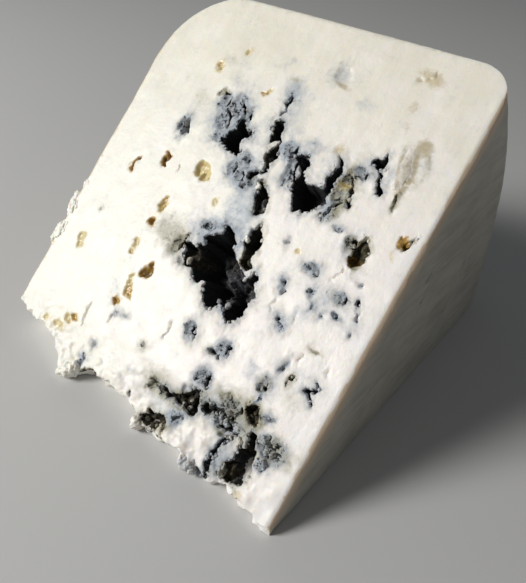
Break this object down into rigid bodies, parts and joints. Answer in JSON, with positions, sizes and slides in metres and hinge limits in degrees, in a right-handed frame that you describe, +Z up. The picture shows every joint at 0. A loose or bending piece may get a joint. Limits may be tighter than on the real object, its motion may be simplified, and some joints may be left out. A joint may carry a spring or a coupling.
{
  "type": "blue cheese wedge",
  "caption": "Wedge cut from a small drum of blue-veined cheese, lying on one cut face, with crumbly paste and mould-lined hollows.",
  "frame": {"origin": "middle of the bounding box's bottom, on the flat lower cut face", "axes": "+X from the thin edge out to the drum's wall, +Y along the drum's axis from the near flat to the far flat, +Z up"},
  "size_m": [0.0978, 0.0826, 0.068],
  "materials": {
    "paste": "moist ivory cheese paste with grey-blue mould"
  },
  "bodies": {
    "root": {"cheese_wedge": "paste"}
  },
  "joints": []
}
